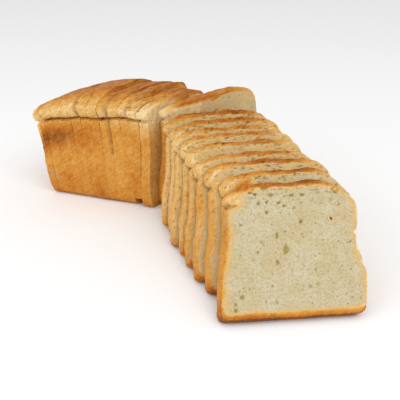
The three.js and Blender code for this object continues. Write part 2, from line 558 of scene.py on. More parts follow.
CUTTINGS = {
    SliceKind.HEEL: Cutting(1.3 * MM, 3, 0),
    SliceKind.UPRIGHT: Cutting(0, 0, 0),
    SliceKind.END: Cutting(0.9 * MM, 1, 20),
    SliceKind.CORNER: Cutting(1.3 * MM, 4, 8),
    SliceKind.LEANING: Cutting(1.25 * MM, 4, 110),
    SliceKind.FRONT: Cutting(0.9 * MM, 4, 40),
}
SMOOTHING = 0.5                # how strong each round is
SEED = 22

# Sweeping
DISC_RADIUS = 0.06             # of the disc that gets the outline
SWEEP_SPACING = 1.6 * MM       # between the points of an outline that is only swept
SWEEP_SHARES = (0.0, 0.05, 0.13, 0.5, 0.87, 0.95, 1.0)  # its rings, through the thickness
NICK = 0.04 * MM               # how far the rims of a cut stand back
OPEN_NICK = 0.6 * MM           # the same where a cut gapes
NICK_START = 0.86              # how far from the middle of the side to its rim that starts

# How upright neighbours meet
SEAM_SHARE = 0.008             # how much of the room between two upright slices stays open
LOOSE_PART = Slope(-48 * MM, -16 * MM)  # a loose crown stands apart on its right from here
FOOT_REACH = 14 * MM
LOBE_MIDDLE = 1 * MM           # above the crease
LOBE_REACH = 5 * MM
LOOSE_LOBE = 0.60              # how much of the way neighbours' lobes come together
TIGHT_LOBE = 0.72
END_SUNK = 1.4 * MM            # how far the run's last slice reaches into the one behind it

# The heel's outer face
HEEL_BULGE = 5 * MM
HEEL_BULGE_HEIGHT = 1.8        # the higher, the nearer to the top it bulges most
HEEL_BULGE_EDGE = Slope(0, 12 * MM)
HEEL_DEPTH = 0.35              # how much of the heel's thickness counts as its outer face

# How the surface wanders: name, size of a wave and height of the highest
LUMP = "lump"                  # the wave that is on the lobes alone
WAVES = (("swell", 18 * MM, 0.6 * MM), ("dimple", 5 * MM, 0.4 * MM), (LUMP, 5 * MM, 2.8 * MM))
WAVE_DETAIL = 2
WAVE_REST = 0.6                # the height of a wave that leaves the surface where it is
SEAM_WAVE_REST = 0.555         # the same where slices meet, so that their seams stay nearly shut
SMOOTH_ANGLE = 38.0

# The sags of a leaning slice's crown: the length of each wave and its share of the whole depth
RIPPLES = ((41 * MM, 0.45), (23 * MM, 0.33), (12 * MM, 0.22))
RIPPLE_DEPTH = 2.0 * MM
RIPPLED = Slope(0.85, 0.95)

# Holes
PITTED_DEPTH = 1.2 * MM        # how far behind the front face vertices sink with its holes
DEEP_HOLE = 2.0                # the depth in millimetres from which a hole's painted shade is darkest
HOLE_MARGIN = 1.0              # how far past its length a hole is looked for, in millimetres

# Parts of a slice, by the share of its height
SOLE = Slope(0.08, 0.03)
SOLE_EDGE = Slope(0.09, 0.05)
ABOVE_SOLE = Slope(0.03, 0.08)
FRONT_FLANK_FOOT = Slope(0.22, 0.34)
FRONT_FLANK_TOP = Slope(0.95, 0.88)
HEEL_TOP = Slope(0.5, 0.8)
LOBE_FOOT = Slope(0.74, 0.80)
LOBE_TOP = Slope(0.97, 0.90)
DOME = Slope(0.80, 0.90)
CROWN = Slope(0.84, 0.93)
BELOW_CROWN = Slope(0.90, 0.84)
BELOW_TOP = Slope(1.0, 0.965)
CROWN_EDGE = Slope(0.88, 0.94)
LUMPY = (0.78, 0.96)

# Parts of a slice, by the share of half its width, from -1 at the left
LEFT_SIDE = Slope(-0.2, -0.75)
LEFT_HALF = Slope(0.05, -0.45)
LEFT_DOME = Slope(0.3, -0.3)
RIGHT_SIDE = Slope(0.3, 0.75)
RIGHT_SHOULDER = Slope(0.42, 0.80)
END_CRUSTED = Slope(0.4, -0.2)
HEEL_LEFT = Slope(-0.55, -0.9)
GAPE_END = -0.25               # cuts gape to the left of it

# Parts of a slice through its thickness, from its back
FACE_EDGE = Slope(THICKNESS - 3 * MM, THICKNESS - 1 * MM)
END_FACE = Slope(THICKNESS - 2 * MM, THICKNESS - 1 * MM)
BEHIND_FACE = Slope(THICKNESS - 1 * MM, THICKNESS - 3 * MM)
BACK_RIM = Slope(2.2 * MM, 0.3 * MM)
LOBE_BACK = Slope(3.0 * MM, 0.6 * MM)

# How wide the crust's ring is on the cut face, in millimetres, by the share of the height
RING_HEIGHTS = (0.0, 0.10, 0.27, 0.31, 0.55, 0.72, 0.80, 0.86, 0.93, 0.97, 1.0)
LEFT_RING = (3.6, 2.6, 2.8, 5.2, 4.8, 3.8, 4.4, 4.6, 3.0, 3.4, 4.0)
RIGHT_RING = (1.4, 0.6, 0.4, 0.4, 0.4, 0.4, 0.4, 0.6, 1.6, 3.4, 4.0)
SOLE_RING = 5.2
RING_SPACING = 3 * MM          # between the points of the outline that it is measured from
END_RING = 60 * MM             # how much wider the ring is on the left of the run's last face
FRONT_NARROW = 0.48            # how much narrower the front slice's ring is on its left flank
TIP_NARROW = 0.6               # the same round the tip of its left crease
TIP_REACH = 7 * MM
LOBE_FOLD = 4.2 * MM           # how much wider it is on the lobe above
LOBE_FOLD_HEIGHT = 0.845       # as a share of the slice's height
LOBE_FOLD_REACH = 0.035

# How the crust covers a slice: 0.5 at the crust's edge, more on the crust, less on the crumb
CRUST_SPAN = 2.2 * MM          # from here to there the crust passes into the crumb
SKIN = 0.8 * MM                # from the outline inwards it is always crust
MOST_CRUST = 2.5
# The least cover: raised on a leaning slice, so that its crumb takes some toast colour as painted
# warm bounce light
LEAST_CRUST = {kind: -3.0 for kind in SliceKind} | {
    SliceKind.LEANING: -0.4, SliceKind.CORNER: -0.9
}
CRUSTED = 0.4                  # from here on a place counts as crust
PAINTED_BOUNCE_SIDES = 0.3               # painted warm bounce light: how much more toast colour a leaning slice's crumb takes at its sides
TORN_EDGE = 4.0                # how sharply torn crust ends
TORN_MIDDLE = 0.5

# The corner slice, whose baked crown reaches down its face
CORNER_BAND = 6 * MM           # how far down it reaches
CORNER_BAND_RIGHT = Slope(0.0, 0.7)
CORNER_BAND_RIGHT_LOSS = 0.75  # how much less far at the right
CORNER_BAND_LEFT = Slope(-0.5, -0.8)
CORNER_BAND_LEFT_LOSS = 0.5
CORNER_CRUST_END = -14 * MM    # the face is crusted over up to here
CORNER_CRUST_FADE = 0.4
CORNER_BAKE = 0.70
CORNER_BAKE_FOOT = 0.76        # the share of the height that it starts from
CORNER_BAKE_DOWN = Slope(1.2, 0.5)      # by the share of the band's reach
CORNER_BAKE_LEFT = Slope(-0.95, -0.6)
CORNER_BAKE_MIDDLE = Slope(-0.25, 0.1)
CORNER_BAKE_RIGHT = Slope(0.3, 0.8)
CORNER_BAKE_RIGHT_LOSS = 0.6

# How dark the crust is baked, from pale cream at 0 to dark brown at 1, by the share of a slice's
# height: sole, foot, flank, under the crease, lobe, shoulder and crown
BAKE_HEIGHTS = (0.0, 0.03, 0.06, 0.18, 0.45, 0.68, 0.76, 0.82, 0.88, 0.93, 0.97, 1.0)
UPRIGHT_BAKE = (0.76, 0.68, 0.62, 0.57, 0.54, 0.54, 0.40, 0.20, 0.20, 0.40, 0.64, 0.74)
LEANING_BAKE = (0.92, 0.80, 0.62, 0.45, 0.41, 0.41, 0.36, 0.25, 0.23, 0.44, 0.68, 0.78)
RIGHT_BAKE_HEIGHTS = (0.0, 0.06, 0.20, 0.45, 0.55, 0.62, 0.75, 0.85, 1.0)
RIGHT_BAKE = (0.80, 0.60, 0.50, 0.44, 0.24, 0.22, 0.48, 0.70, 0.76)
TOAST = 0.42                   # how much darker the flank is under the crease at the heel
TOAST_REACH = 4.5              # the slices over which that fades
TOAST_HEIGHT = 0.62            # where it is darkest, as a share of the slice's height
TOAST_SPREAD = 0.13
TORN_BAKE = 0.58
SPECK_BAKE = 2.2               # the same for the speck of crust in the front slice's face
INNER_PALE = 0.22              # how much less the crust is baked on its inner side
INNER_SIDE = Slope(0.3, 1.1)   # that side, as a share of the ring's width
HEEL_PALE = 0.7                # how much less the heel's outer face is baked at its top left
END_PAINTED_LIGHT = 0.14                # painted light: how much paler the wall is painted on the run's last face, which lies in shade
RIGHT_EDGE_PALE = 0.34         # how much less a leaning slice's right edge is baked in front
SHOULDER_PALE = 0.42           # how much less its right shoulder is baked
BACK_EDGE_BURN_AND_SHADE = 0.66               # how much darker its crown is at its back edge: a burnt edge, and painted shade where it meets the slice behind
SOLE_PALE = 0.22               # how much less the front slice's sole is baked inside its edge
SOLE_RIM = Slope(0.4 * MM, 1.4 * MM)
TIP_PALE = 0.4                 # how much less it is baked round the tip of its left crease

# Painted shade: how dark the creases, the open cuts and the crevices between lobes are painted
CLEFT_REACH = 1.7 * MM
CLEFT_DEPTH = Slope(1.8 * MM, 0.5 * MM)
GAPE_SHADE = 0.85
GAPE_REACH = 0.8 * MM
LOBE_SHADE = 0.85              # painted shade in the crevice at the back edge of a leaning slice's lobe
SLIT_WIDTH = 0.8 * MM          # how far from the walls of the front slice's crease its painted shade reaches
SLIT_SHADE = 0.8
SLIT_END = Slope(8.5 * MM, 6 * MM)      # from the crease's tip

# The slices' own coordinates
CLOSED_CRUMB = 30 * MM         # how far down the corner slice's crumb is read, as it is closer
SPOT_STEP = 50 * MM            # from slice to slice, so that no two are alike


@dataclass
class Survey:
    """Where the vertices of a slab lie while it is on its bench.

    Attributes:
        places: The vertices.
        rise: Their height, as a share of the slice's.
        side: Their distance to the right of the middle, as a share of half the width.
        level: Their height above the slice's back face.
        inside: Their distance from the outline.
    """

    places: np.ndarray
    rise: np.ndarray
    side: np.ndarray
    level: np.ndarray
    inside: np.ndarray

    def gap(self, point: np.ndarray) -> np.ndarray:
        """Gives the vertices' distance from a point of the outline."""
        return np.linalg.norm(self.places[:, :2] - point, axis=1)

    def ahead(self) -> np.ndarray:
        """Tells which vertices are in the front half of the thickness."""
        return self.level > THICKNESS / 2


@dataclass(frozen=True)
class Traits:
    """What sets one slice apart.

    Attributes:
        flank_tone: How much darker than usual its flanks are baked.
        tone: The same for its dome.
        crown_ring: How much wider than usual the crust's ring is at its crown.
        painted_bounce: How much more painted warm bounce light than usual its crumb takes.
        cream: How much paler the left of its dome is.
        gape_foot: The height from which the cut in front of it gapes on the left.
        loose_crown: Whether its crown stands apart from the next one's.
        loose_foot: Whether the left end of its sole does.
        torn: Where crust is folded down over its cut face, each as a hole of depth 1.
        holes: Holes with a place of their own, besides those that chance gives.
    """

    flank_tone: float = 0.0
    tone: float = 0.0
    crown_ring: float = 0.0
    painted_bounce: float = 0.0
    cream: float = 0.0
    gape_foot: float = np.inf
    loose_crown: bool = False
    loose_foot: bool = False
    torn: tuple[Hole, ...] = ()
    holes: tuple[Hole, ...] = ()


@dataclass
class Slice:
    """One slice of the loaf.

    Attributes:
        node: The name of its node.
        kind: How it stands.
        traits: What sets it apart.
        face: Its place and outline.
        back_rim: The outline of its back face, on the bench.
        front_rim: The outline of its front face, on the bench.
        lobe_places: Which of its vertices are on its left lobe.
    """

    node: str
    kind: SliceKind
    traits: Traits = Traits()
    face: CutFace = field(init=False)
    back_rim: np.ndarray = field(init=False)
    front_rim: np.ndarray = field(init=False)
    lobe_places: np.ndarray = field(init=False)

    def __post_init__(self) -> None:
        """Reads the slice's outline from its node."""
        self.face = read_cut_face(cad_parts[self.node])
        count = len(self.face.outline)
        self.back_rim = np.column_stack([self.face.outline, np.zeros(count)])
        self.front_rim = np.column_stack([self.face.outline, np.full(count, THICKNESS)])
        if self.kind is SliceKind.END:
            self.back_rim[:, 2] -= END_SUNK

    @property
    def cutting(self) -> Cutting:
        """How it is made."""
        return CUTTINGS[self.kind]

    @property
    def number(self) -> int:
        """Its place in the loaf, counted from the heel."""
        return int(self.node[-2:])

    @property
    def leans(self) -> bool:
        """Whether it leans towards the corner."""
        return self.kind in (SliceKind.LEANING, SliceKind.FRONT)

    @property
    def toast(self) -> float:
        """How much darker its left flank is under the crease, which fades from the heel on."""
        upright = self.kind in (SliceKind.HEEL, SliceKind.UPRIGHT, SliceKind.END)
        return TOAST * hump(self.number, 1, TOAST_REACH) if upright else 0.0

    def meet(self, ahead: Slice) -> None:
        """Makes this slice's front rim and the back rim of the one ahead meet half way.

        Args:
            ahead: The next slice towards the front.
        """
        towards = self.face.to_place().inverted() @ ahead.face.to_place()
        backwards = towards.inverted()
        share = np.full(len(self.face.outline), 0.5 - SEAM_SHARE)
        sideways, rise = self.face.outline[:, 0], self.face.outline[:, 1]
        loose = self.traits.loose_crown
        share *= 1 - CROWN(rise / rise.max()) * LOOSE_PART(sideways) * loose
        share[(rise < FOOT_REACH) & (sideways < 0) & self.traits.loose_foot] = 0
        lobe = (np.abs(rise - rise[0] - LOBE_MIDDLE) < LOBE_REACH) & (sideways < 0)
        share[lobe] *= LOOSE_LOBE if loose else TIGHT_LOBE
        for place in range(len(share)):
            own = Vector(self.front_rim[place])
            other = Vector(ahead.back_rim[place])
            self.front_rim[place] = own.lerp(towards @ other, share[place])
            ahead.back_rim[place] = other.lerp(backwards @ own, share[place])

    def build(self) -> bpy.types.Object:
        """Cuts, rounds, pits and places the slice.

        Returns:
            The finished slice, with its attributes.
        """
        slab = self.sweep()
        if self.cutting.voxel:
            self.round_off(slab)
        if self.kind is SliceKind.HEEL:
            self.round_heel(slab)
        rng = np.random.default_rng([SEED, self.number])
        holes = list(self.traits.holes) + drawn_holes(rng, self.face, self.cutting.holes)
        if holes:
            self.pit(slab, holes)
        if self.kind is SliceKind.LEANING:
            self.ripple(slab)
        self.record(slab, holes)
        slab.data.transform(self.face.to_place())
        self.wander(slab)
        return slab

    def sweep(self) -> bpy.types.Object:
        """Sweeps the outline through the slice's thickness, from a disc laid on the bench.

        Returns:
            The slab, lying on its back with its front face up.
        """
        spacing = self.cutting.voxel or SWEEP_SPACING
        rings = softened(np.hstack([self.face.outline, self.back_rim, self.front_rim]), spacing)
        outline, back, front = rings[:, :2], rings[:, 2:5], rings[:, 5:]
        bpy.ops.object.select_all(action="DESELECT")
        bpy.ops.mesh.primitive_circle_add(
            vertices=len(outline), radius=DISC_RADIUS, fill_type="NGON"
        )
        slab = bpy.context.active_object
        slab.name = f"bread_{self.node}"
        angles = [np.arctan2(v.co.y, v.co.x) for v in slab.data.vertices]
        order = np.argsort(np.mod(angles, 2 * np.pi))
        for point, index in zip(outline, order):
            slab.data.vertices[index].co = (*point, 0)
        shares = (0.0, 1.0) if self.cutting.voxel else SWEEP_SHARES
        bpy.ops.object.mode_set(mode="EDIT")
        bpy.ops.mesh.select_all(action="SELECT")
        for below, above in zip(shares[:-1], shares[1:]):
            step = (above - below) * THICKNESS
            bpy.ops.mesh.extrude_region_move(TRANSFORM_OT_translate={"value": (0, 0, step)})
        bpy.ops.mesh.select_all(action="SELECT")
        bpy.ops.mesh.normals_make_consistent(inside=False)
        bpy.ops.object.mode_set(mode="OBJECT")
        inward = inward_normals(outline)
        for vertex, place in zip(slab.data.vertices, read_places(slab)):
            point = ((outline - place[:2]) ** 2).sum(axis=1).argmin()
            share = place[2] / THICKNESS
            moved = back[point] * (1 - share) + front[point] * share
            if not self.cutting.voxel:
                moved[:2] += inward[point] * self.nick(share, place)
            vertex.co = moved
        return slab

    def nick(self, share: float, place: np.ndarray) -> float:
        """Gives how far the slab's side stands back near its rims.

        Args:
            share: The place through the thickness, 0 at the back and 1 in front.
            place: The point on the outline.

        Returns:
            The distance inwards.
        """
        rim = max(0.0, abs(share - 0.5) * 2 - NICK_START) / (1 - NICK_START)
        gapes = share > 0.5 and place[0] < 0 and self.traits.gape_foot < place[1]
        return rim * (OPEN_NICK if gapes else NICK)

    def round_off(self, slab: bpy.types.Object) -> None:
        """Gives the slab an even mesh and soft edges.

        Args:
            slab: The slab to round.
        """
        choose_only(slab)
        cells = slab.modifiers.new("cells", "REMESH")
        cells.mode = "VOXEL"
        cells.voxel_size = self.cutting.voxel
        bpy.ops.object.modifier_apply(modifier=cells.name)
        soft = slab.modifiers.new("soft", "SMOOTH")
        soft.factor = SMOOTHING
        soft.iterations = self.cutting.smoothing
        bpy.ops.object.modifier_apply(modifier=soft.name)

    def round_heel(self, slab: bpy.types.Object) -> None:
        """Bulges the heel's outer face, most above the middle.

        Args:
            slab: The heel's slab.
        """
        places = read_places(slab)
        share = np.clip(places[:, 1] / self.face.height, 0, 1) ** HEEL_BULGE_HEIGHT
        inside = HEEL_BULGE_EDGE(rim_distance(places[:, :2], self.face.outline))
        weights = np.sin(np.pi * share) * inside * (places[:, 2] < THICKNESS / 2)
        push(slab, "bulge", weights, -HEEL_BULGE, "Z")

    def pit(self, slab: bpy.types.Object, holes: list[Hole]) -> None:
        """Sinks holes into the front cut face.

        Args:
            slab: The slab to pit.
            holes: The holes.
        """
        places = read_places(slab)
        depths = hole_depths(places, holes) * (places[:, 2] > THICKNESS - PITTED_DEPTH)
        deepest = depths.max()
        push(slab, "pits", depths / deepest, -deepest * MM, "Z")

    def ripple(self, slab: bpy.types.Object) -> None:
        """Makes the crown sag here and there along its width.

        Args:
            slab: The slab of a leaning slice.
        """
        rng = np.random.default_rng([SEED, self.number, 1])
        places = read_places(slab)
        wave = np.zeros(len(places))
        for length, share in RIPPLES:
            wave += share * np.sin(2 * np.pi * (places[:, 0] / length + rng.random()))
        crown = RIPPLED(places[:, 1] / self.face.height)
        push(slab, "ripple", (0.5 + 0.5 * wave) * crown, -RIPPLE_DEPTH, "Y")

    def survey(self, slab: bpy.types.Object) -> Survey:
        """Finds where the slab's vertices lie.

        Args:
            slab: The slab on its bench.

        Returns:
            The survey of its vertices.
        """
        places = read_places(slab)
        return Survey(
            places=places,
            rise=np.clip(places[:, 1] / self.face.height, 0, 1),
            side=places[:, 0] / self.face.half_width,
            level=places[:, 2],
            inside=rim_distance(places[:, :2], softened(self.face.outline, RING_SPACING)),
        )

    def record(self, slab: bpy.types.Object, holes: list[Hole]) -> None:
        """Writes what the finish reads: crust, bake, painted shade, hole depth and the place on
        the slice.

        Args:
            slab: The slab.
            holes: The holes in its front face.
        """
        spots = self.survey(slab)
        torn = hole_depths(spots.places, self.traits.torn) * spots.ahead()
        ring = self.ring_width(spots)
        crust = self.cover(spots, ring, torn)
        pore = hole_depths(spots.places, holes) * spots.ahead()
        lumpy = (spots.rise > LUMPY[0]) & (spots.rise < LUMPY[1])
        self.lobe_places = lumpy & (crust > CRUSTED) & (LEFT_SIDE(spots.side) > 0.5)
        write_values(slab, "crust", crust)
        write_values(slab, "bake", self.baking(spots, ring, torn))
        write_values(slab, "painted_cleft_shade", self.painted_crevice_shade(spots))
        # Hole depths, which the crumb's finish turns into painted shade
        write_values(slab, "pore", np.clip(pore / DEEP_HOLE, 0, 1))
        lowered = CLOSED_CRUMB if self.kind is SliceKind.CORNER else 0
        write_vectors(slab, "spot", spots.places + (0, -lowered, self.number * SPOT_STEP))

    def near_tip(self, spots: Survey) -> np.ndarray:
        """Gives how near the vertices are to the left crease's tip, 1 at the tip."""
        return hump(spots.gap(self.face.outline[0]), 0, TIP_REACH)

    def ring_width(self, spots: Survey) -> np.ndarray:
        """Gives how wide the crust's ring is on the cut face at each vertex.

        Args:
            spots: Where the vertices lie.

        Returns:
            The widths.
        """
        rise, left = spots.rise, LEFT_SIDE(spots.side)
        ring = np.interp(rise, RING_HEIGHTS, LEFT_RING) * left
        ring = ring + np.interp(rise, RING_HEIGHTS, RIGHT_RING) * (1 - left)
        ring = (ring + (SOLE_RING - ring) * SOLE(rise)) * MM
        ring = ring * (1 + self.traits.crown_ring * CROWN(rise))
        if self.kind is SliceKind.FRONT:
            flank = FRONT_FLANK_FOOT(rise) * FRONT_FLANK_TOP(rise)
            ring = ring * (1 - FRONT_NARROW * left * flank)
            ring = ring * (1 - TIP_NARROW * self.near_tip(spots))
            ring = ring + LOBE_FOLD * hump(rise, LOBE_FOLD_HEIGHT, LOBE_FOLD_REACH) * left
        if self.kind is SliceKind.END:
            ring = ring + END_RING * END_CRUSTED(spots.side)
        return ring

    def cover(self, spots: Survey, ring: np.ndarray, torn: np.ndarray) -> np.ndarray:
        """Gives how far each vertex is on the crust's side of the crust's edge.

        Args:
            spots: Where the vertices lie.
            ring: How wide the crust's ring is.
            torn: Where crust is folded down over the face, from 0 to 1.

        Returns:
            The crust's cover, 0.5 at its edge, more on the crust and less on the crumb.
        """
        depth = ring - spots.inside
        hidden = self.kind in (SliceKind.HEEL, SliceKind.UPRIGHT)
        depth = np.where((spots.inside < SKIN) | hidden, 2 * CRUST_SPAN, depth)
        folded = TORN_EDGE * (torn - TORN_MIDDLE) * CRUST_SPAN
        depth = np.where(torn > 0, np.maximum(depth, folded), depth)
        if self.kind is SliceKind.CORNER:
            reach, sunk = self.crown_band(spots)
            folded = CORNER_CRUST_FADE * (CORNER_CRUST_END - spots.places[:, 0])
            shown = LOBE_FOOT(spots.rise) * spots.ahead()
            folded = folded - CORNER_BAND * 2 * (1 - shown)
            depth = np.maximum(depth, np.maximum(folded, reach - sunk))
        least = LEAST_CRUST[self.kind]
        # Painted warm bounce light: a leaning slice's crumb keeps some toast colour, more at its
        # sides
        if self.kind is SliceKind.LEANING:
            sides = np.maximum(LEFT_SIDE(spots.side), RIGHT_SIDE(spots.side))
            least = least + self.traits.painted_bounce + PAINTED_BOUNCE_SIDES * sides
        return np.clip(0.5 + depth / CRUST_SPAN, least, MOST_CRUST)

    def crown_band(self, spots: Survey) -> tuple[np.ndarray, np.ndarray]:
        """Measures the corner slice's baked crown, where it reaches down the face.

        Args:
            spots: Where the vertices lie.

        Returns:
            How far down it reaches, and how far down each vertex is.
        """
        sunk = crown_height(self.face.outline, spots.places[:, 0]) - spots.places[:, 1]
        reach = CORNER_BAND * (1 - CORNER_BAND_RIGHT_LOSS * CORNER_BAND_RIGHT(spots.side))
        return reach * (1 - CORNER_BAND_LEFT_LOSS * CORNER_BAND_LEFT(spots.side)), sunk

    def baking(self, spots: Survey, ring: np.ndarray, torn: np.ndarray) -> np.ndarray:
        """Gives how dark the crust is baked at each vertex.

        Args:
            spots: Where the vertices lie.
            ring: How wide the crust's ring is.
            torn: Where crust is folded down over the face, from 0 to 1.

        Returns:
            The bake, from pale cream at 0 to dark brown at 1.
        """
        rise, side, level = spots.rise, spots.side, spots.level
        left, domed = LEFT_HALF(side), DOME(rise)
        left_bake = np.interp(rise, BAKE_HEIGHTS, LEANING_BAKE if self.leans else UPRIGHT_BAKE)
        bake = left_bake * left + np.interp(rise, RIGHT_BAKE_HEIGHTS, RIGHT_BAKE) * (1 - left)
        bake = bake + self.traits.tone * domed + self.traits.flank_tone * (1 - domed)
        bake = bake + self.toast * hump(rise, TOAST_HEIGHT, TOAST_SPREAD) * left
        bake = bake - INNER_PALE * INNER_SIDE(spots.inside / ring)
        bake = bake - self.traits.cream * domed * (LEFT_DOME(side) * BELOW_TOP(rise))
        torn_bake = SPECK_BAKE if self.kind is SliceKind.FRONT else TORN_BAKE
        bake = bake + (torn_bake - bake) * np.clip(torn, 0, 1)
        if self.leans:
            flank = ABOVE_SOLE(rise) * BELOW_CROWN(rise)
            bake = bake - RIGHT_EDGE_PALE * FACE_EDGE(level) * flank * (1 - left)
            bake = bake - SHOULDER_PALE * domed * RIGHT_SHOULDER(side)
            # A burnt edge, and painted shade where the crown meets the slice behind
            bake = bake + BACK_EDGE_BURN_AND_SHADE * BACK_RIM(level) * CROWN_EDGE(rise)
        if self.kind is SliceKind.FRONT:
            bake = bake - SOLE_PALE * SOLE_RIM(spots.inside) * SOLE_EDGE(rise)
            bake = bake * (1 - TIP_PALE * self.near_tip(spots))
        if self.kind is SliceKind.END:
            # Painted light: the run's last face, in shade, is painted paler so that it reads like
            # the lit wall
            bake = bake - END_PAINTED_LIGHT * END_FACE(level) * (1 - domed)
        if self.kind is SliceKind.CORNER:
            reach, sunk = self.crown_band(spots)
            band = CORNER_BAKE_DOWN(sunk / reach) * CORNER_BAKE_LEFT(side)
            band = np.maximum(band, CORNER_BAKE_MIDDLE(side))
            band = band * (1 - CORNER_BAKE_RIGHT_LOSS * CORNER_BAKE_RIGHT(side))
            bake = np.where(rise > CORNER_BAKE_FOOT, CORNER_BAKE * band, bake)
        if self.kind is SliceKind.HEEL:
            rim_bake = bake * (1 - HEEL_PALE * HEEL_TOP(rise))
            outer_bake = left_bake + (rim_bake - left_bake) * HEEL_LEFT(side)
            bake = np.where(level < THICKNESS * HEEL_DEPTH, outer_bake, bake)
        return bake

    def painted_crevice_shade(self, spots: Survey) -> np.ndarray:
        """Gives how much painted shade each vertex gets in creases, open cuts and crevices.

        Args:
            spots: Where the vertices lie.

        Returns:
            The painted shade, 0 in the open and 1 where it is darkest.
        """
        shade = np.zeros(len(spots.rise))
        # Painted shade round the tips of the creases
        for tip in crease_tips(self.face.outline):
            gap = spots.gap(self.face.outline[tip])
            shade = np.maximum(shade, hump(gap, 0, CLEFT_REACH))
        if self.cutting.voxel:
            shade = shade * BEHIND_FACE(spots.level)
        # Painted shade along the front rim where a cut gapes open
        gapes = (spots.places[:, 1] > self.traits.gape_foot) & (spots.side < GAPE_END)
        gaping = GAPE_SHADE * gapes * hump(spots.level, THICKNESS, GAPE_REACH)
        shade = np.maximum(shade * CLEFT_DEPTH(spots.inside), gaping)
        if self.leans:
            # Painted shade in the crevice at the back edge of a leaning slice's lobe
            lobe = LOBE_FOOT(spots.rise) * LOBE_TOP(spots.rise) * LEFT_SIDE(spots.side)
            shade = np.maximum(shade, LOBE_SHADE * lobe * LOBE_BACK(spots.level))
        if self.kind is SliceKind.FRONT:
            # Painted shade on the walls of the front slice's crease
            walls = hump(spots.inside, 0, SLIT_WIDTH) * SLIT_END(spots.gap(self.face.outline[0]))
            shade = np.maximum(shade, SLIT_SHADE * walls)
        return shade

    def wander(self, slab: bpy.types.Object) -> None:
        """Makes the placed slice's surface wander a little, in step with its neighbours.

        Args:
            slab: The slice in its place.
        """
        choose_only(slab)
        lobes = slab.vertex_groups.new(name=LUMP)
        lobes.add(np.flatnonzero(self.lobe_places).tolist(), 1.0, "REPLACE")
        for name, scale, amount in WAVES:
            texture = bpy.data.textures.get(name) or bpy.data.textures.new(name, "CLOUDS")
            texture.noise_scale = scale
            texture.noise_depth = WAVE_DETAIL
            wave = slab.modifiers.new(name, "DISPLACE")
            wave.texture = texture
            wave.texture_coords = "LOCAL"
            wave.mid_level = SEAM_WAVE_REST if self.kind is SliceKind.UPRIGHT else WAVE_REST
            wave.strength = amount
            if name == LUMP:
                wave.vertex_group = LUMP
            bpy.ops.object.modifier_apply(modifier=wave.name)
        slab.vertex_groups.clear()
        bpy.ops.object.shade_smooth_by_angle(angle=radians(SMOOTH_ANGLE))

    def dress(self, slab: bpy.types.Object, bread: bpy.types.Material) -> None:
        """Gives the slice its finish and ties it to the frame.

        Args:
            slab: The finished slice.
            bread: The bread's material.
        """
        slab.data.materials.clear()
        slab.data.materials.append(bread)
        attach(slab, BODY)
        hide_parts(self.node)


def hole_depths(places: np.ndarray, holes: Sequence[Hole]) -> np.ndarray:
    """Gives the depth of holes at each place, in millimetres.

    Args:
        places: The slab's vertices.
        holes: The holes.

    Returns:
        The depths, 0 where there is no hole.
    """
    depths = np.zeros(len(places))
    for hole in holes:
        away = np.abs(places[:, :2] - (hole.across * MM, hole.up * MM))
        near = (away < (hole.length + HOLE_MARGIN) * MM).all(axis=1)
        if near.any():
            depths[near] = np.maximum(depths[near], hole.weights(places[near, :2]) * hole.depth)
    return depths


def read_places(piece: bpy.types.Object) -> np.ndarray:
    """Reads where a piece's vertices are.

    Args:
        piece: The piece.

    Returns:
        One row of three for each vertex.
    """
    flat = np.empty(len(piece.data.vertices) * 3)
    piece.data.vertices.foreach_get("co", flat)
    return flat.reshape(-1, 3)


def keep_inside(piece: bpy.types.Object, box: list[list[float]]) -> None:
    """Brings vertices that wandered out of a box back to its walls.

    Args:
        piece: The piece, at the origin.
        box: The box's lowest and highest corner.
    """
    places = np.clip(read_places(piece), box[0], box[1])
    piece.data.vertices.foreach_set("co", places.ravel())
    piece.data.update()


def write_values(piece: bpy.types.Object, name: str, values: np.ndarray) -> None:
    """Stores one number for each vertex under a name."""
    attribute = piece.data.attributes.new(name, "FLOAT", "POINT")
    attribute.data.foreach_set("value", np.ascontiguousarray(values, dtype=np.float32))


def write_vectors(piece: bpy.types.Object, name: str, vectors: np.ndarray) -> None:
    """Stores one vector for each vertex under a name."""
    attribute = piece.data.attributes.new(name, "FLOAT_VECTOR", "POINT")
    attribute.data.foreach_set("vector", np.ascontiguousarray(vectors, dtype=np.float32).ravel())


def push(piece: bpy.types.Object, name: str, weights: np.ndarray, depth: float, way: str) -> None:
    """Moves a piece's vertices by their weights.

    Args:
        piece: The piece.
        name: What the push is called.
        weights: How much of the depth each vertex gets, 0 to 1.
        depth: How far a vertex of full weight moves.
        way: The displace direction.
    """
    group = piece.vertex_groups.new(name=name)
    steps = np.rint(np.clip(weights, 0, 1) * PUSH_LEVELS).astype(int)
    for level in range(1, PUSH_LEVELS + 1):
        members = np.flatnonzero(steps == level)
        if len(members):
            group.add(members.tolist(), level / PUSH_LEVELS, "REPLACE")
    choose_only(piece)
    move = piece.modifiers.new(name, "DISPLACE")
    move.vertex_group = group.name
    move.direction = way
    move.mid_level = 0
    move.strength = depth
    bpy.ops.object.modifier_apply(modifier=move.name)
    piece.vertex_groups.clear()


# ---------------------------------------------------------------------------------------------
# Finishes
# ---------------------------------------------------------------------------------------------


@dataclass(frozen=True)
class Fade:
    """A smooth change from one result to another, which goes no further at its ends.

    Attributes:
        low: The value that gives start.
        high: The value that gives end.
        start: The result at low.
        end: The result at high.
    """

    low: float
    high: float
    start: float = 0.0
    end: float = 1.0


@dataclass(frozen=True)
class Grain:
    """A noise.

    Attributes:
        scale: Its fineness, in features for each metre.
        detail: How many finer layers it has.
        rough: How strong they are.
        stretch: How much finer it is along each axis.
        weight: How much it counts for.
    """

    scale: float
    detail: float
    rough: float = 0.55
    stretch: Triple = (1, 1, 1)
    weight: float = 1.0


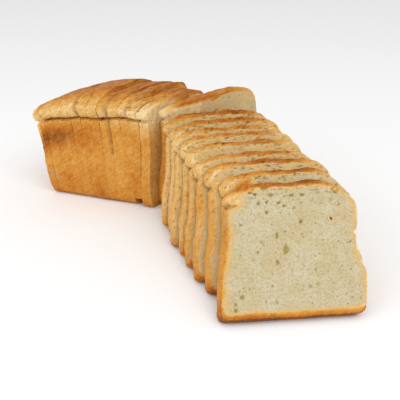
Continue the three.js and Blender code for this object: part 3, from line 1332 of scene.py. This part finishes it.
class Bench:
    """Sets nodes out in one tree and joins them."""

    def __init__(self, tree: bpy.types.NodeTree) -> None:
        """Starts on an empty tree."""
        self.tree = tree
        self.column = 0

    def put(self, value: object, target: bpy.types.NodeSocket) -> None:
        """Joins a socket to an input, or sets the input to a plain value.

        Args:
            value: The socket or the plain value.
            target: The input.
        """
        if isinstance(value, bpy.types.NodeSocket):
            self.tree.links.new(value, target)
        else:
            target.default_value = value

    def add(self, kind: str, **settings: object) -> bpy.types.Node:
        """Adds a node.

        Args:
            kind: The node's type.
            **settings: Its properties. One whose name is an input's is put into that input.

        Returns:
            The node.
        """
        node = self.tree.nodes.new(kind)
        node.location = (self.column * NODE_WIDTH, -(self.column % NODE_ROWS) * NODE_HEIGHT)
        self.column += 1
        for name, value in settings.items():
            if name in node.inputs:
                self.put(value, node.inputs[name])
            else:
                setattr(node, name, value)
        return node

    def value(self, name: str) -> bpy.types.NodeSocket:
        """Reads a number that the slice carries under a name."""
        return self.add("ShaderNodeAttribute", attribute_name=name).outputs["Fac"]

    def vector(self, name: str) -> bpy.types.NodeSocket:
        """Reads a vector that the slice carries under a name."""
        return self.add("ShaderNodeAttribute", attribute_name=name).outputs["Vector"]

    def sums(self, how: str, first: object, second: object) -> bpy.types.NodeSocket:
        """Works out one sum.

        Args:
            how: The operation's name.
            first: A socket or a number.
            second: A socket or a number.

        Returns:
            The result's socket.
        """
        node = self.add("ShaderNodeMath", operation=how)
        self.put(first, node.inputs[0])
        self.put(second, node.inputs[1])
        return node.outputs[0]

    def times(self, first: object, second: object) -> bpy.types.NodeSocket:
        """Multiplies two values."""
        return self.sums("MULTIPLY", first, second)

    def plus(self, first: object, *others: object) -> bpy.types.NodeSocket:
        """Adds values up.

        Args:
            first: A socket or a number.
            *others: The sockets and numbers to add to it.

        Returns:
            The result's socket.
        """
        for other in others:
            first = self.sums("ADD", first, other)
        return first

    def swing(self, value: bpy.types.NodeSocket, weight: object) -> bpy.types.NodeSocket:
        """Gives how far a noise is above or below its middle, times a weight."""
        return self.times(self.sums("SUBTRACT", value, 0.5), weight)

    def fade(self, source: bpy.types.NodeSocket, fade: Fade) -> bpy.types.NodeSocket:
        """Turns a value into the result that a fade gives for it.

        Args:
            source: The value.
            fade: The fade.

        Returns:
            The result's socket.
        """
        node = self.add("ShaderNodeMapRange", interpolation_type="SMOOTHSTEP", Value=source)
        node.inputs["From Min"].default_value = fade.low
        node.inputs["From Max"].default_value = fade.high
        node.inputs["To Min"].default_value = fade.start
        node.inputs["To Max"].default_value = fade.end
        return node.outputs["Result"]

    def grain(self, place: bpy.types.NodeSocket, grain: Grain) -> bpy.types.NodeSocket:
        """Adds a noise.

        Args:
            place: The coordinates.
            grain: The noise.

        Returns:
            Its value.
        """
        if grain.stretch != (1, 1, 1):
            place = self.scale(place, grain.stretch)
        noise = self.add(
            "ShaderNodeTexNoise",
            Vector=place, Scale=grain.scale, Detail=grain.detail, Roughness=grain.rough,
        )
        return noise.outputs["Fac"]

    def scale(
        self, source: bpy.types.NodeSocket, stretch: Triple, turn: Triple = (0, 0, 0)
    ) -> bpy.types.NodeSocket:
        """Stretches and turns coordinates.

        Args:
            source: The coordinates.
            stretch: The factor along each axis.
            turn: The turn about each axis, in degrees.

        Returns:
            The new coordinates.
        """
        turned = Euler([radians(angle) for angle in turn])
        node = self.add(
            "ShaderNodeMapping", vector_type="POINT", Vector=source, Scale=stretch, Rotation=turned
        )
        return node.outputs["Vector"]

    def height(self, spot: bpy.types.NodeSocket) -> bpy.types.NodeSocket:
        """Gives the height on the slice of its own coordinates."""
        return self.add("ShaderNodeSeparateXYZ", Vector=spot).outputs["Y"]

    def blend(self, share: object, first: object, second: object) -> bpy.types.NodeSocket:
        """Mixes two colours.

        Args:
            share: How much of the second, as a socket or number.
            first: A colour or its socket.
            second: A colour or its socket.

        Returns:
            The mixed colour's socket.
        """
        node = self.add("ShaderNodeMix", data_type="RGBA")
        for value, place in ((share, 0), (first, 6), (second, 7)):
            self.put(value, node.inputs[place])
        return node.outputs[2]

    def coat(
        self, colour: bpy.types.NodeSocket, coats: tuple[tuple[bpy.types.NodeSocket, Triple], ...]
    ) -> bpy.types.NodeSocket:
        """Lays colours over a colour, one after the other.

        Args:
            colour: The lowest colour.
            coats: How much of each coat shows, and its colour as it looks on a screen.

        Returns:
            The colour of them all.
        """
        for share, dye in coats:
            colour = self.blend(share, colour, tint(*dye))
        return colour


def new_group(
    name: str, inputs: tuple[str, ...]
) -> tuple[Bench, bpy.types.Node, bpy.types.Node]:
    """Starts a node group that turns numbers into a colour and a height.

    Args:
        name: What the group is called.
        inputs: The numbers' names.

    Returns:
        A bench in the group, and its input and output nodes.
    """
    group = bpy.data.node_groups.new(name, "ShaderNodeTree")
    for title in inputs:
        group.interface.new_socket(name=title, in_out="INPUT", socket_type="NodeSocketFloat")
    group.interface.new_socket(name="Color", in_out="OUTPUT", socket_type="NodeSocketColor")
    group.interface.new_socket(name="Height", in_out="OUTPUT", socket_type="NodeSocketFloat")
    bench = Bench(group)
    return bench, bench.add("NodeGroupInput"), bench.add("NodeGroupOutput")


@dataclass(frozen=True)
class CrustFinish:
    """The crust: cream where the tin or the dome's fold kept it pale, brown where it baked most.

    Attributes:
        stops: Its colours, each with the bake that gives it.
        painted_cleft_shade: The painted shade colour in creases, open cuts and crevices.
        painted_shade_ragged: How much of the painted shade shows where the mottle is low and high.
        floury: The colour of the flour on it.
        flour: Where the flour lies.
        flour_shown: How much of it shows.
        pit: The colour of its small pits.
        pits: Where they are.
        pits_shown: How much of them shows.
        pits_baked: How much less of them shows where the crust is dark.
        patches: The broad change in bake.
        mottle: A finer one.
        streaks: Streaks that run down the slices.
        streak_turn: How the streaks lean, in degrees about each axis.
        fine: The finest change in bake.
        drawn: Streaks that run along the dome.
        dome: The height that those start at.
        relief: How high the mottle, the fine grain and the streaks stand.
    """

    stops: tuple[tuple[float, Triple], ...] = (
        (0.0, (232, 204, 152)),
        (0.2, (224, 182, 112)),
        (0.48, (208, 146, 58)),
        (0.72, (186, 110, 26)),
        (1.0, (124, 66, 8)),
    )
    painted_cleft_shade: Triple = (128, 82, 40)
    painted_shade_ragged: Fade = Fade(0.38, 0.60, 0.45, 1.0)
    floury: Triple = (206, 178, 140)
    flour: Grain = Grain(55, 3)
    flour_shown: Fade = Fade(0.56, 0.70, 0, 0.2)
    pit: Triple = (158, 116, 62)
    pits: Grain = Grain(300, 2)
    pits_shown: Fade = Fade(0.40, 0.31, 0, 0.8)
    pits_baked: Fade = Fade(0.5, 0.25, 0.3, 1)
    patches: Grain = Grain(32, 3, weight=0.32)
    mottle: Grain = Grain(150, 4, 0.6, weight=0.34)
    streaks: Grain = Grain(1, 3, stretch=(110, 110, 480), weight=0.42)
    streak_turn: Triple = (0, 38, 0)
    fine: Grain = Grain(700, 3, 0.65, weight=0.55)
    drawn: Grain = Grain(1, 3, stretch=(60, 620, 200), weight=0.7)
    dome: Fade = Fade(0.092, 0.106)
    relief: Triple = (0.6, 0.7, 1.3)

    def group(self) -> bpy.types.NodeTree:
        """Builds the group that turns bake and cleft into the crust's colour and relief.

        Returns:
            The node group.
        """
        bench, inlet, outlet = new_group("loaf crust", ("Bake", "Cleft"))
        place = bench.add("ShaderNodeTexCoord").outputs["Object"]
        spot = bench.vector("spot")
        patches = bench.grain(place, self.patches)
        mottle = bench.grain(place, self.mottle)
        leaning = bench.scale(place, (1, 1, 1), self.streak_turn)
        streaks = bench.grain(leaning, self.streaks)
        fine = bench.grain(place, self.fine)
        near_dome = bench.fade(bench.height(spot), self.dome)
        drawn = bench.plus(bench.swing(bench.grain(spot, self.drawn), near_dome), 0.5)
        noises = (patches, mottle, streaks, fine, drawn)
        grains = (self.patches, self.mottle, self.streaks, self.fine, self.drawn)
        bake = inlet.outputs["Bake"]
        for noise, grain in zip(noises, grains):
            bake = bench.plus(bake, bench.swing(noise, grain.weight))
        ramp = bench.add("ShaderNodeValToRGB", Fac=bake)
        elements = ramp.color_ramp.elements
        while len(elements) < len(self.stops):
            elements.new(0.5)
        for element, (position, colour) in zip(elements, self.stops):
            element.position = position
            element.color = tint(*colour)
        flour = bench.fade(bench.grain(place, self.flour), self.flour_shown)
        pits = bench.fade(bench.grain(spot, self.pits), self.pits_shown)
        pits = bench.times(pits, bench.fade(inlet.outputs["Bake"], self.pits_baked))
        # Painted shade in creases, open cuts and crevices, made ragged by the mottle
        painted_cleft_shade = bench.times(inlet.outputs["Cleft"], bench.fade(mottle, self.painted_shade_ragged))
        coats = ((flour, self.floury), (pits, self.pit), (painted_cleft_shade, self.painted_cleft_shade))
        bench.put(bench.coat(ramp.outputs["Color"], coats), outlet.inputs["Color"])
        raised = [bench.times(*pair) for pair in zip((mottle, fine, streaks), self.relief)]
        bench.put(bench.plus(*raised), outlet.inputs["Height"])
        return bench.tree


@dataclass(frozen=True)
class CrumbFinish:
    """The crumb: cream, with fine pores all over and painted shade in its holes.

    Attributes:
        pale: The crumb's colour.
        warm: The same where it is warmer.
        toast_and_bounce_colour: Its colour next to the crust, and the painted warm bounce light on
            a leaning slice's crumb.
        pore: The colour of its pores and specks.
        slit: The colour of its pinholes and slits.
        hole: The painted shade colour down in its holes.
        tone: Where it is warmer.
        tone_shown: How much warmer.
        mottle: Its fine mottle.
        mottle_shown: How much of it shows.
        pores: Its pores.
        pores_shown: How far they open.
        pores_share: How much of their colour shows.
        specks: Its specks.
        specks_shown: How much of them shows.
        cells: How many cells that may hold a pinhole there are for each metre.
        pinholes: How far a pinhole reaches in its cell.
        pinholes_picked: Which cells hold one.
        slits: The slits that run along the dome.
        slits_shown: How much of them shows.
        dome: The height that they grow from.
        hole_shade_shown: How much of a hole's painted shade shows, by its depth.
    """

    pale: Triple = (204, 192, 160)
    warm: Triple = (199, 182, 143)
    toast_and_bounce_colour: Triple = (219, 176, 104)
    pore: Triple = (176, 158, 112)
    slit: Triple = (138, 108, 62)
    hole: Triple = (172, 156, 90)
    tone: Grain = Grain(60, 3)
    tone_shown: Fade = Fade(0.38, 0.62)
    mottle: Grain = Grain(560, 4, 0.8)
    mottle_shown: Fade = Fade(0.54, 0.36, 0, 0.75)
    pores: Grain = Grain(520, 3, 0.6, (1, 1.25, 1), weight=0.8)
    pores_shown: Fade = Fade(0.42, 0.33)
    pores_share: float = 0.55
    specks: Grain = Grain(1100, 2, 0.6, weight=0.5)
    specks_shown: Fade = Fade(0.42, 0.30, 0, 0.5)
    cells: float = 250.0
    pinholes: Fade = Fade(0.24, 0.14, 0, 0.65)
    pinholes_picked: Fade = Fade(0.55, 0.8)
    slits: Grain = Grain(1, 4, 0.6, (230, 420, 300))
    slits_shown: Fade = Fade(0.46, 0.35, 0, 0.85)
    dome: Fade = Fade(0.088, 0.108, 0.1, 1)
    hole_shade_shown: Fade = Fade(0.1, 0.75, 0, 0.9)

    def group(self) -> bpy.types.NodeTree:
        """Builds the group that turns hole depths into painted shade in the crumb's colour, and
        its relief.

        Returns:
            The node group.
        """
        bench, inlet, outlet = new_group("loaf crumb", ("Pore", "Toast"))
        spot = bench.vector("spot")
        tone = bench.fade(bench.grain(spot, self.tone), self.tone_shown)
        mottle = bench.fade(bench.grain(spot, self.mottle), self.mottle_shown)
        pores = bench.fade(bench.grain(spot, self.pores), self.pores_shown)
        fine = bench.grain(spot, self.specks)
        cells = bench.add("ShaderNodeTexVoronoi", Scale=self.cells, Vector=spot)
        picked = bench.add("ShaderNodeSeparateColor", Color=cells.outputs["Color"]).outputs[0]
        pinholes = bench.fade(cells.outputs["Distance"], self.pinholes)
        pinholes = bench.times(pinholes, bench.fade(picked, self.pinholes_picked))
        slits = bench.fade(bench.grain(spot, self.slits), self.slits_shown)
        slits = bench.times(slits, bench.fade(bench.height(spot), self.dome))
        coats = (
            (mottle, self.pore),
            (bench.times(pores, self.pores_share), self.pore),
            (pinholes, self.slit),
            (bench.fade(fine, self.specks_shown), self.pore),
            # The toast next to the crust, and painted warm bounce light on a leaning slice's crumb
            (inlet.outputs["Toast"], self.toast_and_bounce_colour),
            (slits, self.slit),
            # Painted shade down in the holes, darker where they are deeper
            (bench.fade(inlet.outputs["Pore"], self.hole_shade_shown), self.hole),
        )
        plain = bench.blend(tone, tint(*self.pale), tint(*self.warm))
        bench.put(bench.coat(plain, coats), outlet.inputs["Color"])
        raised = bench.times(fine, self.specks.weight)
        height = bench.sums("SUBTRACT", raised, bench.times(pores, self.pores.weight))
        bench.put(height, outlet.inputs["Height"])
        return bench.tree


@dataclass(frozen=True)
class BreadFinish:
    """Bread: crust over crumb, by each slice's own attributes.

    Attributes:
        crust: The crust's finish.
        crumb: The crumb's finish.
        ragged: The fine waves of the crust's edge.
        wavy: Its broad waves.
        edge: How the crust's cover passes from crumb to crust.
        toast: How much toast colour the crumb takes, by the same cover, with painted warm bounce
            light on leaning slices.
        crust_roughness: How rough the crust is.
        crumb_roughness: How rough the crumb is.
        shine: How much both reflect.
        relief: How strong the relief is.
        relief_depth: How deep it is.
    """

    crust: CrustFinish = CrustFinish()
    crumb: CrumbFinish = CrumbFinish()
    ragged: Grain = Grain(260, 3, weight=1.6)
    wavy: Grain = Grain(65, 2, weight=3.2)
    edge: Fade = Fade(0.3, 0.7)
    toast: Fade = Fade(-2.4, 0.5, 0, 0.75)
    crust_roughness: float = 0.62
    crumb_roughness: float = 0.95
    shine: float = 0.2
    relief: float = 0.5
    relief_depth: float = 0.6 * MM

    def material(self) -> bpy.types.Material:
        """Builds the material.

        Returns:
            The material.
        """
        material = bpy.data.materials.new("bread")
        material.use_nodes = True
        shader = material.node_tree.nodes["Principled BSDF"]
        bench = Bench(material.node_tree)
        edge = bench.value("crust")
        for grain in (self.ragged, self.wavy):
            noise = bench.grain(bench.vector("spot"), grain)
            edge = bench.plus(edge, bench.swing(noise, grain.weight))
        share = bench.fade(edge, self.edge)
        crust = bench.add(
            "ShaderNodeGroup", node_tree=self.crust.group(),
            Bake=bench.value("bake"), Cleft=bench.value("painted_cleft_shade"),
        )
        crumb = bench.add(
            "ShaderNodeGroup", node_tree=self.crumb.group(),
            Pore=bench.value("pore"), Toast=bench.fade(edge, self.toast),
        )
        colour = bench.blend(share, crumb.outputs["Color"], crust.outputs["Color"])
        bench.put(colour, shader.inputs["Base Color"])
        rough = bench.fade(share, Fade(0, 1, self.crumb_roughness, self.crust_roughness))
        bench.put(rough, shader.inputs["Roughness"])
        bench.put(self.shine, shader.inputs["Specular IOR Level"])
        height = bench.add("ShaderNodeMix", data_type="FLOAT")
        bench.put(share, height.inputs[0])
        bench.put(crumb.outputs["Height"], height.inputs[2])
        bench.put(crust.outputs["Height"], height.inputs[3])
        bump = bench.add(
            "ShaderNodeBump",
            Strength=self.relief, Distance=self.relief_depth, Height=height.outputs[0],
        )
        bench.put(bump.outputs["Normal"], shader.inputs["Normal"])
        return material


# ---------------------------------------------------------------------------------------------
# The loaf and its studio
# ---------------------------------------------------------------------------------------------


@dataclass
class Loaf:
    """The whole loaf.

    Attributes:
        upright: The upright slices, heel first.
        leaning: The leaning slices, from the corner to the front.
        finish: The bread's finish.
    """

    upright: tuple[Traits, ...] = (
        Traits(0.02),
        Traits(-0.02),
        Traits(0.03),
        Traits(0.0, loose_crown=True),
        Traits(-0.03, gape_foot=92 * MM),
        Traits(0.02),
        Traits(0.03, loose_crown=True),
        Traits(-0.02, gape_foot=55 * MM),
        Traits(-0.05, loose_crown=True),
        Traits(-0.01, cream=0.08, gape_foot=98 * MM, loose_crown=True, loose_foot=True),
        Traits(0.03, cream=0.20, gape_foot=99 * MM, loose_foot=True),
        Traits(-0.04, cream=0.50, crown_ring=1.6),
    )
    leaning: tuple[Traits, ...] = (
        Traits(-0.16, 0.14, 1.4, 0.3),
        Traits(-0.16, 0.08, 1.6, 0.2),
        Traits(-0.12, 0.0, 1.2, 0.1),
        Traits(-0.1, 0.0, 1.0),
        Traits(-0.05, 0.0, 1.1),
        Traits(0.0, 0.0, 0.9, -0.2),
        Traits(0.03, 0.08, 1.4, -0.5),
        Traits(0.06, 0.04, 1.3, -1.0, torn=(Hole(-36, 98, 34, 12, 35, 1.0),)),
        Traits(0.12, 0.12, 0.9, torn=(Hole(37, 78, 2.6, 4.4, 20, 1.0),), holes=FRONT_HOLES),
    )
    finish: BreadFinish = BreadFinish()

    def slices(self) -> list[Slice]:
        """Lists the slices in order.

        Returns:
            Every slice of the loaf.
        """
        kinds = [SliceKind.UPRIGHT] * len(self.upright)
        kinds[0], kinds[-1] = SliceKind.HEEL, SliceKind.END
        upright = [
            Slice(f"upright_slice_{number:02d}", kind, traits)
            for number, (kind, traits) in enumerate(zip(kinds, self.upright), 1)
        ]
        for behind, ahead in zip(upright[:-1], upright[1:]):
            behind.meet(ahead)
        corner = len(upright) + 1
        kinds = [SliceKind.LEANING] * (len(self.leaning) - 1) + [SliceKind.FRONT]
        leaning = [
            Slice(f"leaning_slice_{number:02d}", kind, traits)
            for number, (kind, traits) in enumerate(zip(kinds, self.leaning), corner + 1)
        ]
        return [*upright, Slice(f"corner_slice_{corner:02d}", SliceKind.CORNER), *leaning]

    def build(self, box: list[list[float]]) -> None:
        """Builds and dresses every slice.

        Args:
            box: The lowest and the highest corner of the solids' box.
        """
        bread = self.finish.material()
        for bread_slice in self.slices():
            slab = bread_slice.build()
            keep_inside(slab, box)
            bread_slice.dress(slab, bread)
            log.info("%s: %d faces", slab.name, len(slab.data.polygons))


@dataclass(frozen=True)
class Lamp:
    """A square soft light.

    Attributes:
        name: What it is called.
        energy: Its power in watts.
        size: The length of its side.
        place: Where it hangs.
    """

    name: str
    energy: float
    size: float
    place: Triple

    def hang(self, aim: Vector) -> None:
        """Hangs the lamp.

        Args:
            aim: The point that it shines on.
        """
        lamp = bpy.data.lights.new(self.name, "AREA")
        lamp.shape = "SQUARE"
        lamp.size = self.size
        lamp.energy = self.energy
        light = bpy.data.objects.new(self.name, lamp)
        light.location = self.place
        light.rotation_euler = (aim - Vector(self.place)).to_track_quat("-Z", "Y").to_euler()
        bpy.context.scene.collection.objects.link(light)


@dataclass
class Studio:
    """The floor, the lights and the camera.

    Attributes:
        lens: The camera's lens in millimetres.
        sensor: The width of what the lens draws on, in millimetres.
        camera_place: Where the camera stands.
        camera_drop: How far it looks down, in degrees.
        floor_size: The length of the floor's side.
        floor_colour: Its colour.
        floor_roughness: How rough it is.
        sky: How bright the room is all round.
        aim: Where the lamps shine.
        lamps: A large one in front and one at the left.
    """

    lens: float = 52.4
    sensor: float = 36
    camera_place: Triple = (0.0267, -0.5404, 0.2753)
    camera_drop: float = 25.0
    floor_size: float = 8.0
    floor_colour: Triple = (250, 250, 250)
    floor_roughness: float = 0.9
    sky: float = 0.80
    aim: Triple = (0, 0, 0.05)
    lamps: tuple[Lamp, ...] = (
        Lamp("key", 9.0, 1.3, (0.55, -0.95, 1.35)),
        Lamp("fill", 5.5, 1.2, (-1.3, -0.7, 0.75)),
    )

    def build(self) -> None:
        """Sets up the whole studio."""
        bpy.context.scene.view_settings.view_transform = "Standard"
        self.lay_floor()
        self.hang_lights()
        self.stand_camera()

    def lay_floor(self) -> None:
        """Lays a plain pale floor."""
        bpy.ops.object.select_all(action="DESELECT")
        bpy.ops.mesh.primitive_plane_add(size=self.floor_size, location=(0, 0, 0))
        floor = bpy.context.active_object
        floor.name = "floor"
        material = bpy.data.materials.new("floor")
        material.use_nodes = True
        shader = material.node_tree.nodes["Principled BSDF"]
        shader.inputs["Base Color"].default_value = tint(*self.floor_colour)
        shader.inputs["Roughness"].default_value = self.floor_roughness
        floor.data.materials.append(material)
        floor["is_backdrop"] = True

    def hang_lights(self) -> None:
        """Hangs the lamps and lights the room evenly."""
        for lamp in self.lamps:
            lamp.hang(Vector(self.aim))
        world = bpy.data.worlds.new("room")
        world.use_nodes = True
        background = world.node_tree.nodes["Background"]
        background.inputs["Color"].default_value = (1, 1, 1, 1)
        background.inputs["Strength"].default_value = self.sky
        bpy.context.scene.world = world

    def stand_camera(self) -> None:
        """Stands the camera in front of the loaf."""
        data = bpy.data.cameras.new("camera")
        data.lens = self.lens
        data.sensor_width = self.sensor
        camera = bpy.data.objects.new("camera", data)
        camera.location = self.camera_place
        camera.rotation_euler = (radians(90 - self.camera_drop), 0, 0)
        bpy.context.scene.collection.objects.link(camera)
        bpy.context.scene.camera = camera


def main() -> None:
    """Builds the loaf, inside the box of the imported solids, in its studio."""
    logging.basicConfig(level=logging.INFO, format="%(message)s")
    solid_box = [list(corner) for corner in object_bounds()]
    Loaf().build(solid_box)
    Studio().build()


if __name__ == "__main__":
    main()
